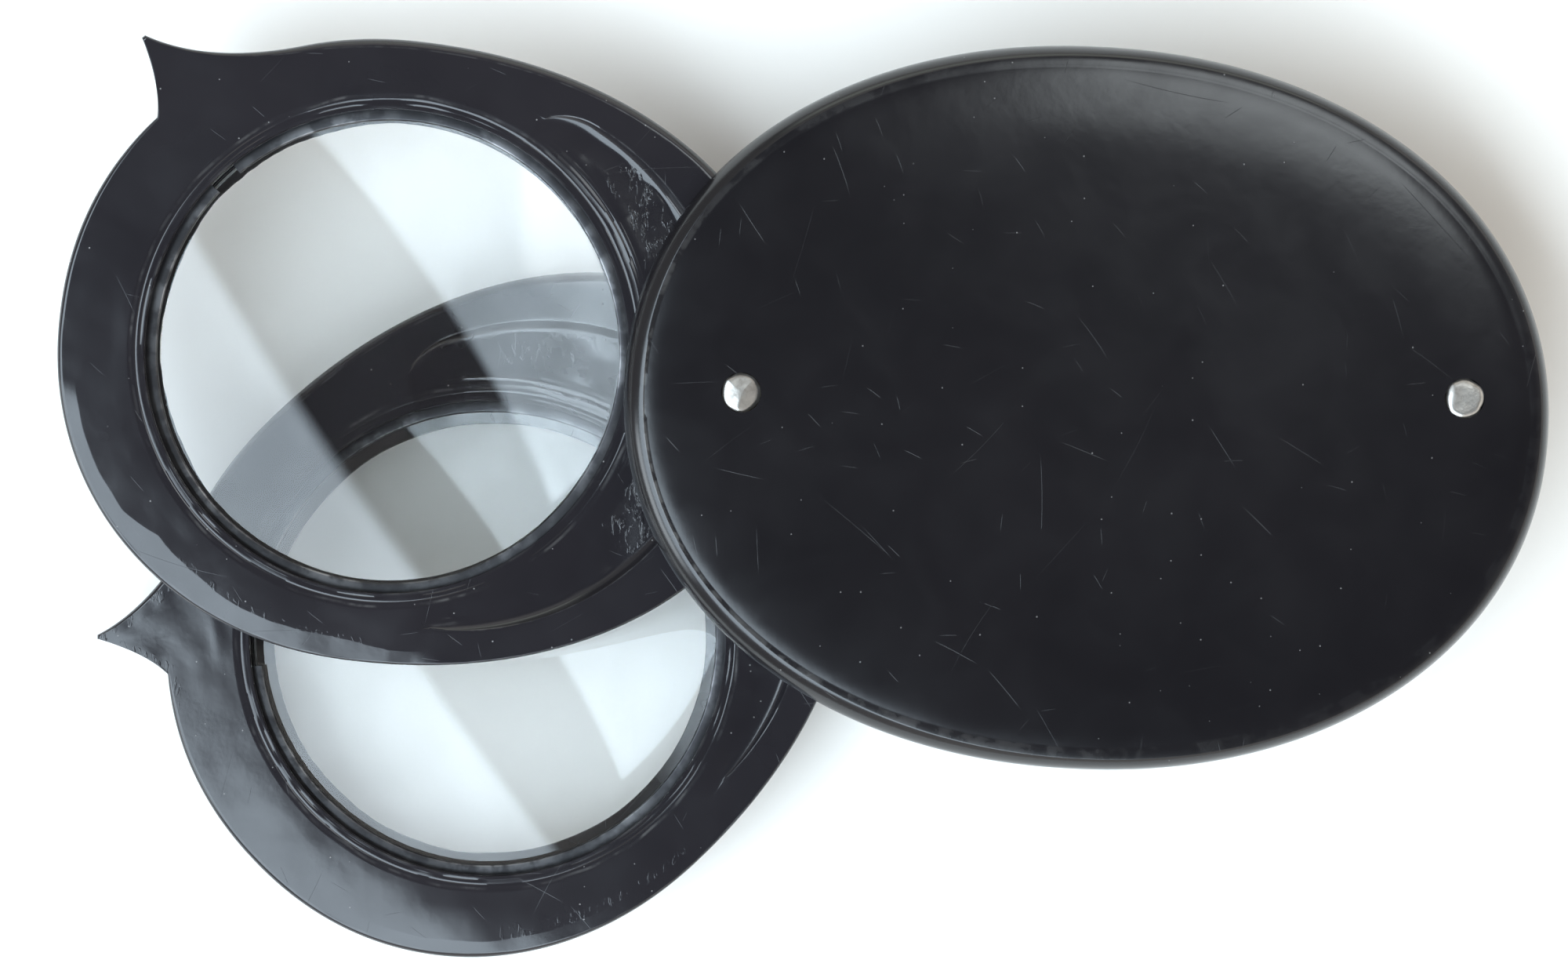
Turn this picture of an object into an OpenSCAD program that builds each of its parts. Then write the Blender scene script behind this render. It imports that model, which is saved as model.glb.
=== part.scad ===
// Folding pocket hand lens: two oval covers riveted at both ends, and two lens
// frames that swing out between them about one rivet. Millimetres, +Z up.
// The origin is on the lower cover's underside, midway between the rivets, and +X
// runs from the pivot rivet to the end rivet.

/* [Case] */
// Length of the oval covers
case_length = 62; // [58:0.5:68]
// Width of the oval covers
case_width = 48.4; // [46:0.2:54]
// Thickness of each cover
cover_thickness = 2.6; // [2:0.1:3.4]
// Roundness of every oval: 2 is an ellipse, more is squarer
oval_power = 2.1; // [2:0.05:2.4]
// How far the covers' long axis is turned from the line of the rivets
cover_turn = -3; // [-4:0.5:0]
// How far the covers' middle lies from the middle of the rivets, along their line
cover_shift_x = -1; // [-1.2:0.1:0]
// The same across their line
cover_shift_y = -0.8; // [-1:0.1:0]
// How far the lower cover is turned against the upper one
cover_mismatch = 0; // [0:0.5:2]

/* [Rivets] */
// Distance between the two rivets
rivet_spacing = 48.2; // [48:0.1:50]
// Diameter of the rivets' shanks
shank_d = 2.2; // [1.8:0.1:2.4]
// Diameter of the closed rivet heads, flush in the covers
head_d = 2.6; // [2.5:0.1:3.2]
// Outer diameter of the tube that holds the covers apart at the end rivet
spacer_d = 3; // [2.8:0.1:3.2]
// Radial clearance of the frames on the pivot rivet
pivot_clearance = 0.05; // [0.02:0.01:0.1]

/* [Lens frames] */
// Thickness of each lens frame
frame_thickness = 4.6; // [4.4:0.1:5.4]
// Distance from the pivot rivet to the middle of a lens
lens_reach = 24.1; // [23.6:0.1:24.2]
// Half width of a frame across the lens
frame_half_width = 21; // [20.6:0.1:21.8]
// Rim beyond the lens's middle, away from the pivot
frame_nose = 22.2; // [21.6:0.1:22.3]
// Length of frame behind the pivot rivet
frame_heel = 3.7; // [3.4:0.1:4.4]
// Diameter of the clear view through the upper lens
upper_view_d = 30.8; // [29:0.2:31]
// Diameter of the clear view through the lower lens
lower_view_d = 29.6; // [29:0.2:31]
// Depth of the crescent recess in each frame's upper face
recess_depth = 0.9; // [0.5:0.1:1.2]
// Thickness of the friction washers on the pivot rivet
washer_thickness = 0.25; // [0.2:0.05:0.4]

/* [Lenses] */
// Diameter of the glasses
glass_d = 32.4; // [32:0.1:32.4]
// Radius of both surfaces of the upper glass
upper_curve = 100; // [90:5:160]
// Radius of both surfaces of the lower glass
lower_curve = 80; // [78:1:160]
// Thickness of the glasses at their edge
glass_edge = 1.1; // [0.8:0.1:1.2]

/* [Position] */
// How far the lower frame's horn is set round its lens from where the upper one's is
lower_horn_turn = 1.8; // [0:0.2:2]
// Angle of the upper lens from the line of the rivets
upper_angle = 173.6; // [40:0.2:360]
// Angle of the lower lens from the line of the rivets
lower_angle = 224; // [40:0.5:360]

/* [Hidden] */
$fn = 96;

black = "#1c1b1e";
nickel = "#b9b6b0";
brass = "#b08d4a";
clear = [0.8, 0.86, 0.86, 0.45];
eps = 0.02;

// Heights of the stack, from the table up
lower_frame_z = cover_thickness + washer_thickness;
middle_washer_z = lower_frame_z + frame_thickness;
upper_frame_z = middle_washer_z + washer_thickness;
upper_washer_z = upper_frame_z + frame_thickness;
upper_cover_z = upper_washer_z + washer_thickness;
case_height = upper_cover_z + cover_thickness;

pivot_x = -rivet_spacing / 2;
end_x = rivet_spacing / 2;
hub_bore_r = shank_d / 2 + pivot_clearance;
head_depth = 0.5;
washer_r = 3.5;

// Covers: [inset from the outline, height above the inner face]
cover_profile = [[0.3, 0], [0, 0.3], [0, 1.2], [0.25, 1.8], [0.75, 2.25], [1.4, 2.45], [2.6, 2.6]];
cover_sides = 96;

// Lens seat, from the frame's underside up
glass_r = glass_d / 2;
arc_steps = 16;
seat_r = glass_r + 0.1;
lip_chamfer = 0.5;
ring_width = 0.65;
ring_height = 0.6;
ring_groove = 0.2;
ring_gap = 2;
ring_gap_turn = -40;
mouth_r = 17.2;
mouth_depth = 0.3;
seat_wall_r = 17.9;

// Crescent recess: a shallow round pocket nearer the pivot than the lens is
recess_offset = 4.9;
recess_r = 18.2;
recess_slope = 0.9;
hub_pad_r = 4;

// Thumb horn: where it leaves the rim, its tip, and the hollows of its two flanks
horn_front_turn = -40;
horn_back_turn = -69;
horn_tip = [18.9, -19.2];
horn_blunt = 0.2;
front_hollow = [17.2, -15.9];
back_hollow = [14.3, -17.8];

// A point of a frame turned about the middle of its lens
function turned(p, angle) =
    [cos(angle) * p[0] - sin(angle) * p[1], sin(angle) * p[0] + cos(angle) * p[1]];

function signed_pow(x, p) = sign(x) * pow(abs(x), p);
// A point of an oval whose length differs ahead of and behind its middle
function oval(ahead, behind, half, t) = [
    (cos(t) >= 0 ? ahead : behind) * signed_pow(cos(t), 2 / oval_power),
    half * signed_pow(sin(t), 2 / oval_power)];
function oval_loop(ahead, behind, half, from, to, steps) =
    [for (i = [0:steps]) oval(ahead, behind, half, from + (to - from) * i / steps)];
function bezier(a, b, c, steps) =
    [for (i = [1:steps - 1]) let (t = i / steps)
        (1 - t) * (1 - t) * a + 2 * t * (1 - t) * b + t * t * c];
function sag(curve, r) = curve - sqrt(curve * curve - r * r);

// Rings of equal size joined into one closed solid
module skin(rings) {
    n = len(rings[0]);
    last = len(rings) - 1;
    sides = [for (k = [0:last - 1], i = [0:n - 1], half = [0, 1]) let (j = (i + 1) % n)
        half == 0 ? [k * n + i, k * n + n + i, k * n + j] : [k * n + j, k * n + n + i, k * n + n + j]];
    bottom = [for (i = [0:n - 1]) i];
    top = [for (i = [n - 1:-1:0]) last * n + i];
    polyhedron(points = [for (r = rings) each r], faces = concat(sides, [bottom, top]));
}

// A solid oval plate with its inner face at z = 0 and its rounded outer face above
module cover_blank() {
    skin([for (p = cover_profile) [for (i = [0:cover_sides - 1])
        let (q = oval(case_length / 2 - p[0], case_length / 2 - p[0], case_width / 2 - p[0],
            360 * i / cover_sides)) [q[0], q[1], p[1] * cover_thickness / 2.6]]]);
}

// A shank the full height of the case with a flush countersunk head at each end
module rivet_shape() {
    cylinder(d = shank_d, h = case_height);
    cylinder(d1 = head_d, d2 = shank_d, h = head_depth);
    translate([0, 0, case_height - head_depth])
        cylinder(d1 = shank_d, d2 = head_d, h = head_depth);
}

module at_rivets() {
    for (x = [pivot_x, end_x])
        translate([x, 0, 0]) children();
}

module washer(inner, outer, height) {
    difference() {
        cylinder(r = outer, h = height);
        translate([0, 0, -1]) cylinder(r = inner, h = height + 2);
    }
}

// Places a frame's own parts: pivot at its origin, lens along +X
module swung(angle, z) {
    translate([pivot_x, 0, z]) rotate([0, 0, angle]) children();
}

module frame_outline(horn_turn) {
    tail = lens_reach + frame_heel;
    front_turn = horn_front_turn + horn_turn;
    back_turn = horn_back_turn + horn_turn;
    front = oval(frame_nose, tail, frame_half_width, front_turn);
    back = oval(frame_nose, tail, frame_half_width, back_turn);
    tip_front = turned(horn_tip + [0, horn_blunt], horn_turn);
    tip_back = turned(horn_tip - [horn_blunt, 0], horn_turn);
    polygon(concat(
        oval_loop(frame_nose, tail, frame_half_width, front_turn, back_turn + 360, 96),
        bezier(back, turned(back_hollow, horn_turn), tip_back, 10), [tip_back, tip_front],
        bezier(tip_front, turned(front_hollow, horn_turn), front, 8)));
}

// The hole for a glass: mouth, seat with the ring's groove, lip, and a chamfer below.
// lip_z is where the glass rests and ring_z where the ring does.
module seat_hole(view_r, lip_z, ring_z) {
    rotate_extrude()
        polygon([[0, -1], [view_r + lip_chamfer + 1, -1], [view_r, lip_chamfer],
            [view_r, lip_z], [seat_r, lip_z], [seat_r, ring_z],
            [seat_r + ring_groove, ring_z], [seat_r + ring_groove, ring_z + ring_height],
            [seat_r, ring_z + ring_height], [seat_r, frame_thickness - mouth_depth],
            [mouth_r, frame_thickness], [mouth_r, frame_thickness + 1],
            [0, frame_thickness + 1]]);
}

module crescent_recess() {
    difference() {
        translate([-recess_offset, 0, frame_thickness - recess_depth])
            cylinder(r1 = recess_r - recess_slope, r2 = recess_r + recess_slope,
                h = 2 * recess_depth);
        translate([0, 0, frame_thickness - recess_depth - 1])
            cylinder(r = seat_wall_r, h = 2 * recess_depth + 2);
        translate([-lens_reach, 0, frame_thickness - recess_depth - 1])
            cylinder(r = hub_pad_r, h = 2 * recess_depth + 2);
    }
}

// Heights of the glass and ring in a frame, for a glass of the given surface radius
function glass_z() = (frame_thickness - glass_edge) / 2;
function lip_height(curve, view_r) = glass_z() - sag(curve, glass_r) + sag(curve, view_r);
function ring_inner_r() = seat_r + ring_groove - eps - ring_width;
function ring_z(curve) =
    glass_z() + glass_edge + sag(curve, glass_r) - sag(curve, ring_inner_r());

module lens_frame(curve, view_r, horn_turn) {
    difference() {
        translate([lens_reach, 0, 0]) difference() {
            linear_extrude(frame_thickness) frame_outline(horn_turn);
            seat_hole(view_r, lip_height(curve, view_r) - eps, ring_z(curve) + eps / 2);
            crescent_recess();
        }
        translate([0, 0, -1]) cylinder(r = hub_bore_r, h = frame_thickness + 2);
    }
}

// Biconvex glass with a ground edge, in place in its frame
module glass(curve) {
    low = glass_z() - sag(curve, glass_r);
    high = glass_z() + glass_edge + sag(curve, glass_r);
    radii = [for (i = [0:arc_steps]) glass_r * i / arc_steps];
    translate([lens_reach, 0, 0]) rotate_extrude()
        polygon(concat([for (r = radii) [r, low + sag(curve, r)]],
            [for (i = [arc_steps:-1:0]) [radii[i], high - sag(curve, radii[i])]]));
}

// Split ring sprung into the groove above the glass
module retaining_ring(curve) {
    gap_angle = ring_gap / seat_r * 180 / PI;
    translate([lens_reach, 0, ring_z(curve) + eps])
        rotate([0, 0, ring_gap_turn + gap_angle / 2])
            rotate_extrude(angle = 360 - gap_angle)
                translate([ring_inner_r(), 0]) square([ring_width, ring_height - eps]);
}

module upper_cover() {
    color(black) difference() {
        translate([cover_shift_x, cover_shift_y, upper_cover_z])
            rotate([0, 0, cover_turn]) cover_blank();
        at_rivets() rivet_shape();
    }
}

module lower_cover() {
    color(black) difference() {
        translate([cover_shift_x, cover_shift_y, cover_thickness])
            rotate([0, 0, cover_turn + cover_mismatch]) mirror([0, 0, 1]) cover_blank();
        at_rivets() rivet_shape();
    }
}

module pivot_rivet() {
    color(nickel) translate([pivot_x, 0, 0]) rivet_shape();
}

module end_rivet() {
    color(nickel) translate([end_x, 0, 0]) rivet_shape();
}

module end_spacer() {
    color(nickel) translate([end_x, 0, cover_thickness])
        washer(shank_d / 2, spacer_d / 2, upper_cover_z - cover_thickness);
}

module pivot_washer(z) {
    color(brass) translate([pivot_x, 0, z]) washer(shank_d / 2, washer_r, washer_thickness);
}

upper_cover();
lower_cover();
pivot_rivet();
end_rivet();
end_spacer();
pivot_washer(upper_washer_z);  // upper_pivot_washer
pivot_washer(middle_washer_z);  // middle_pivot_washer
pivot_washer(cover_thickness);  // lower_pivot_washer
color(black) swung(upper_angle, upper_frame_z) lens_frame(upper_curve, upper_view_d / 2, 0);  // upper_lens_frame
color(black) swung(lower_angle, lower_frame_z)  // lower_lens_frame
        lens_frame(lower_curve, lower_view_d / 2, lower_horn_turn);
color(clear) swung(upper_angle, upper_frame_z) glass(upper_curve);  // upper_lens
color(clear) swung(lower_angle, lower_frame_z) glass(lower_curve);  // lower_lens
color(black) swung(upper_angle, upper_frame_z) retaining_ring(upper_curve);  // upper_retaining_ring
color(black) swung(lower_angle, lower_frame_z) retaining_ring(lower_curve);  // lower_retaining_ring
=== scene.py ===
"""Folding pocket hand lens: the looks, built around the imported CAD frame.

Lengths in the constants and the shape functions are millimetres; Blender's own are metres.
"""

import math

import bmesh
import bpy
import numpy as np
from mathutils import Matrix, Vector


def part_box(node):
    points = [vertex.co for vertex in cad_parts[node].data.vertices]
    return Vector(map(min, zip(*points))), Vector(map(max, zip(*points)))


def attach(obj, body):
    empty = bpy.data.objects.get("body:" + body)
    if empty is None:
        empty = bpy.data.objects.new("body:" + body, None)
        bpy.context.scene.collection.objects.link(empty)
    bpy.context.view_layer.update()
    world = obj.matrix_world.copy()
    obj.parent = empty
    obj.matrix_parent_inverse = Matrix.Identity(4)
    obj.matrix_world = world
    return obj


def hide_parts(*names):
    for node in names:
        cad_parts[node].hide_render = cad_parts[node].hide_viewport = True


MM = 0.001

# Covers and rivets. The frames' ovals have the same power
OVAL_POWER = 2.1
CASE_HALF_LENGTH = 31.0
CASE_HALF_WIDTH = 24.2
COVER_TURN = -3.0
COVER_SIDES = 384
COVER_THICKNESS = 2.6
DOME_REACH = 6.8
DOME_DROP = 0.2
CREASE_INSET = 1.4
RUBBED_WIDTH = 1.2
RUBBED_DROP = 0.05
RIVET_HOLE_R = 1.33
RIVET_SIDES = 72
RIVET_SHANK_R = 1.1

# Lens frames, about the lens's middle with +x away from the pivot
FRAME_HALF_WIDTH = 21.0
FRAME_NOSE = 22.2
FRAME_HEEL = 3.7
OVAL_RAYS = 900
FLANK_RAYS = 44
HORN_FRONT_TURN = -40.0
HORN_BACK_TURN = -69.0
HORN_TIP = (18.9, -19.2)
HORN_BLUNT = 0.2
FRONT_HOLLOW = (17.2, -15.9)
BACK_HOLLOW = (14.3, -17.8)
HUB_BORE_R = 1.15
HUB_PAD_R = 4.2
HUB_PAD_BLEND = 0.7
FACE_SKIM = 0.03
HORN_ROUGHNESS = 30

# Lens seat
SEAT_R = 16.3
MOUTH_R = 17.2
MOUTH_DEPTH = 0.12
LIP_CHAMFER = 0.5
GLASS_EDGE = 1.1
GLASS_R = 16.2
GLASS_BEVEL = 0.12
GLASS_SIDES = 160
RING_GROOVE = 0.2
RING_INNER_R = 15.62
RING_MIDDLE_R = 16
RING_HEIGHT = 0.56
RING_GAP = 2.0
RING_GAP_TURN = -40.0

# Crescent recess, a round pocket whose middle is nearer the pivot than the lens is
RECESS_OFFSET = 4.9
RECESS_R = 18.2
RECESS_DEPTH = 0.9
COVE_WIDTH = 0.8
RECESS_FOOT_R = 18.4
RECESS_START, RECESS_START_FADE = 109, 7
RECESS_END, RECESS_END_FADE = 234.5, 8.5
RIDGE_HEIGHT = 0.035

# Rings of a frame's section. At the mouth of the seat: (radius, share of the mouth's depth). On the
# recess's floor: (radius, share of the ridges' height). The rest are shares of the way across the
# recess's wall, the flat face, the filed bevel and the rounded outer edge.
MOUTH_RINGS = ((16.5, 0.95), (16.58, 1.15), (16.62, 0.85), (16.84, 0.68), (16.9, 0.9), (16.95, 0.62))
RIDGE_RINGS = ((17.48, 0.55), (17.6, -1.0), (17.72, -0.6), (17.84, 0.5), (17.96, -0.7), (18.08, -0.2))
COVE_STEPS = (0.18, 0.36, 0.52, 0.66, 0.78, 0.88, 0.95, 0.99)
FACE_STEPS = (0.12, 0.25, 0.4, 0.55, 0.7, 0.85, 0.97)
BEVEL_STEPS = (0.0, 0.03, 0.15, 0.3, 0.45, 0.6, 0.8, 0.95, 1.0)
EDGE_STEPS = (0.2, 0.4, 0.6, 0.77, 0.9, 0.98)
WAVE_R = 17
WAVE_COUNT = 9

# Each frame's own values: view radius, surface radius of its glass, random seed, the slope in
# degrees that its face was dressed to on one side, how its horn sits, and by direction how far
# the face rolls off and how wide the flat is that was filed along its outer edge
FRAMES = {
    "upper": {
        "view_r": 15.4, "curve": 100.0, "seed": 11, "dressed": 0.0,
        "horn_turn": 0.0, "horn_mottle": 0.0, "horn_edge": 0.3,
        "roll": [(0, 0.03), (120, 0.03), (250, 0.04), (280, 0.0), (335, 0.0)],
        "bevel": [(12, 0), (20, 0.6), (28, 0.85), (38, 1.0), (46, 1.8), (56, 1.6), (64, 1.3), (74, 1.2),
                  (86, 1.4), (96, 0.9), (106, 0)],
    },
    "lower": {
        "view_r": 14.8, "curve": 80.0, "seed": 23, "dressed": 1.5,
        "horn_turn": 1.8, "horn_mottle": 0.008, "horn_edge": 0.4,
        "roll": [(0, 0.06), (18, 0.12), (50, 0.14), (84, 0.08), (110, 0.04), (250, 0.04), (280, 0.0),
                 (335, 0.0)],
        "bevel": [(20, 0), (40, 0.6), (70, 0.8), (90, 0)],
    },
}
DRESSED_TOWARD = -9.6
DRESSED_START = 13.0
BEVEL_SLOPE = 4.0
ROLL_REACH = 4.2

# Camera, straight above
CAMERA_HEIGHT = 280.0
CAMERA_FROM_PIVOT = (2.9, -6.4)
CAMERA_ROLL = 0.45
CAMERA_LENS = 96.5

# Colours of marks on the black parts, and how wide a hairline is, in metres
# Grey of rubbed edges on the black parts; it also paints highlights along creases, rims and ridges.
RUBBED_AND_HIGHLIGHT_GREY = (0.15, 0.145, 0.14)
SCRATCH_GREY = (0.16, 0.155, 0.15)
DUST_GREY = (0.30, 0.29, 0.28)
HAIRLINE_WIDTH = 0.000022
FULL_TURN = 6.2832

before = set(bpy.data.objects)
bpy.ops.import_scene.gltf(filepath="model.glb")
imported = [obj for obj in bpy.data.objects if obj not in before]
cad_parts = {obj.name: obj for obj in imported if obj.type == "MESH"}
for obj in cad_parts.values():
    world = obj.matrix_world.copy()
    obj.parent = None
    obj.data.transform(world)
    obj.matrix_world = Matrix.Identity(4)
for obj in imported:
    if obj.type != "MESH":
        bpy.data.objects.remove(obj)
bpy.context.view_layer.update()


# ---------------------------------------------------------------- measured from the frame


def node_box(node):
    """Lowest and highest corner of a CAD node, in millimetres."""
    low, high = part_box(node)
    return np.array(low) / MM, np.array(high) / MM


def node_middle(node):
    low, high = node_box(node)
    return (low + high) / 2


PIVOT = node_middle("pivot_rivet")
END = node_middle("end_rivet")


def lens_pose(side):
    """Angle of a lens about the pivot and the distance between them."""
    reach = node_middle(side + "_lens")[:2] - PIVOT[:2]
    return math.atan2(reach[1], reach[0]), float(np.hypot(*reach))


def placed(points, angle, middle, bottom):
    """Points turned by an angle and moved to a middle, with z counted from a bottom."""
    cosine, sine = math.cos(angle), math.sin(angle)
    x, y, z = points[..., 0], points[..., 1], points[..., 2]
    return np.stack(
        [middle[0] + cosine * x - sine * y, middle[1] + sine * x + cosine * y, z + bottom], -1
    )


def swung(points, side):
    """Points from about a frame's own lens, z from its underside, to where the frame is."""
    angle, _ = lens_pose(side)
    return placed(points, angle, node_middle(side + "_lens"), node_box(side + "_lens_frame")[0][2])


# ---------------------------------------------------------------- shapes


def signed_pow(x, power):
    """A power that keeps the sign of x."""
    return np.sign(x) * np.abs(x) ** power


def smooth(edge_low, edge_high, x):
    """0 below one edge and 1 above the other, with a soft step between them."""
    t = np.clip((x - edge_low) / (edge_high - edge_low), 0, 1)
    return t * t * (3 - 2 * t)


def around(degrees, stops):
    """A value by direction, from (degrees, value) stops that close on themselves."""
    places, values = zip(*stops)
    return np.interp(degrees % 360, places, values, period=360)


def waves(x, y, seed, length):
    """Gentle unevenness of about unit height with bumps about a length apart."""
    generator = np.random.default_rng(seed)
    total = np.zeros(np.broadcast(x, y).shape)
    for _ in range(WAVE_COUNT):
        direction = generator.uniform(0, 2 * math.pi)
        pitch = 2 * math.pi / (length * generator.uniform(0.7, 1.6))
        phase = generator.uniform(0, 2 * math.pi)
        total += np.sin(pitch * (np.cos(direction) * x + np.sin(direction) * y) + phase)
    return total / math.sqrt(WAVE_COUNT)


def oval(ahead, behind, half, degrees):
    """Points of a slightly squared oval: its reach along +x and -x, and its half width."""
    cosine, sine = np.cos(np.radians(degrees)), np.sin(np.radians(degrees))
    power = 2 / OVAL_POWER
    x = np.where(cosine >= 0, ahead, behind) * signed_pow(cosine, power)
    return np.stack([x, half * signed_pow(sine, power)], -1)


def bezier(start, hollow, end, steps):
    """Points between two ends of a curve that is pulled towards a hollow."""
    t = np.linspace(0, 1, steps + 1)[1:-1, None]
    return (1 - t) ** 2 * start + 2 * t * (1 - t) * np.array(hollow) + t**2 * end


def sag(curve, radius):
    """How far a lens surface falls away at a radius from its middle."""
    return curve - np.sqrt(curve**2 - radius**2)


def new_object(name, points, faces, sharp_angle):
    """A smooth-shaded mesh object from points in millimetres."""
    mesh = bpy.data.meshes.new(name)
    mesh.from_pydata((np.asarray(points) * MM).tolist(), [], faces)
    work = bmesh.new()
    work.from_mesh(mesh)
    bmesh.ops.recalc_face_normals(work, faces=work.faces)
    work.to_mesh(mesh)
    work.free()
    made = bpy.data.objects.new(name, mesh)
    bpy.context.scene.collection.objects.link(made)
    shade(made, sharp_angle)
    return made


def shade(piece, sharp_angle):
    """Smooth shading with creases where the surface turns by more than an angle."""
    mesh = piece.data
    mesh.polygons.foreach_set("use_smooth", [True] * len(mesh.polygons))
    mesh.set_sharp_from_angle(angle=math.radians(sharp_angle))
    mesh.update()


def grid_object(name, grid, *, sharp_angle, closed_across=False, capped=False, **marks):
    """A piece from rings of points: grid[ring, place in the ring]. Each of the marks becomes a
    point attribute: wear says how rubbed a point is and how much painted highlight its edge gets, tooled how
    rough it was left."""
    rings, sides = grid.shape[:2]
    points = grid.reshape(-1, 3).tolist()
    faces = []
    for k in range(rings if closed_across else rings - 1):
        here, there = k * sides, (k + 1) % rings * sides
        for i in range(sides):
            j = (i + 1) % sides
            faces.append((here + i, here + j, there + j, there + i))
    if capped:
        for start, ring in ((0, grid[0]), ((rings - 1) * sides, grid[-1])):
            points.append(ring.mean(0).tolist())
            middle = len(points) - 1
            faces += [(start + i, start + (i + 1) % sides, middle) for i in range(sides)]
    made = new_object(name, points, faces, sharp_angle)
    for mark in ("wear", "tooled"):
        amount = np.zeros(len(points), np.float32)
        if mark in marks:
            amount[: rings * sides] = (marks[mark] + np.zeros((rings, sides))).ravel()
        made.data.attributes.new(mark, "FLOAT", "POINT").data.foreach_set("value", amount)
    return made


def drill(piece, place, radius, sharp_angle):
    """Cuts an upright round hole through a piece."""
    work = bmesh.new()
    bmesh.ops.create_cone(
        work, cap_ends=True, segments=64, radius1=radius * MM, radius2=radius * MM, depth=0.06,
        matrix=Matrix.Translation((place[0] * MM, place[1] * MM, 0)),
    )
    cutter_mesh = bpy.data.meshes.new("cutter")
    work.to_mesh(cutter_mesh)
    work.free()
    cutter = bpy.data.objects.new("cutter", cutter_mesh)
    bpy.context.scene.collection.objects.link(cutter)
    cut = piece.modifiers.new("hole", "BOOLEAN")
    cut.operation = "DIFFERENCE"
    cut.solver = "EXACT"
    cut.object = cutter
    bpy.context.view_layer.update()
    graph = bpy.context.evaluated_depsgraph_get()
    result = bpy.data.meshes.new_from_object(piece.evaluated_get(graph))
    piece.modifiers.clear()
    piece.data = result
    bpy.data.objects.remove(cutter)
    shade(piece, sharp_angle)


def paint_with(piece, *materials):
    piece.data.materials.clear()
    for material in materials:
        piece.data.materials.append(material)


# ---------------------------------------------------------------- materials


def ranged(tree, source, low, high, from_value, to_value, interpolation="SMOOTHSTEP"):
    """source from low to high gives from_value to to_value."""
    node = tree.nodes.new("ShaderNodeMapRange")
    node.interpolation_type = interpolation
    tree.links.new(source, node.inputs["Value"])
    node.inputs["From Min"].default_value = low
    node.inputs["From Max"].default_value = high
    node.inputs["To Min"].default_value = from_value
    node.inputs["To Max"].default_value = to_value
    return node.outputs["Result"]


def product(tree, first, second):
    node = tree.nodes.new("ShaderNodeMath")
    node.operation = "MULTIPLY"
    tree.links.new(first, node.inputs[0])
    tree.links.new(second, node.inputs[1])
    return node.outputs["Value"]


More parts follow.
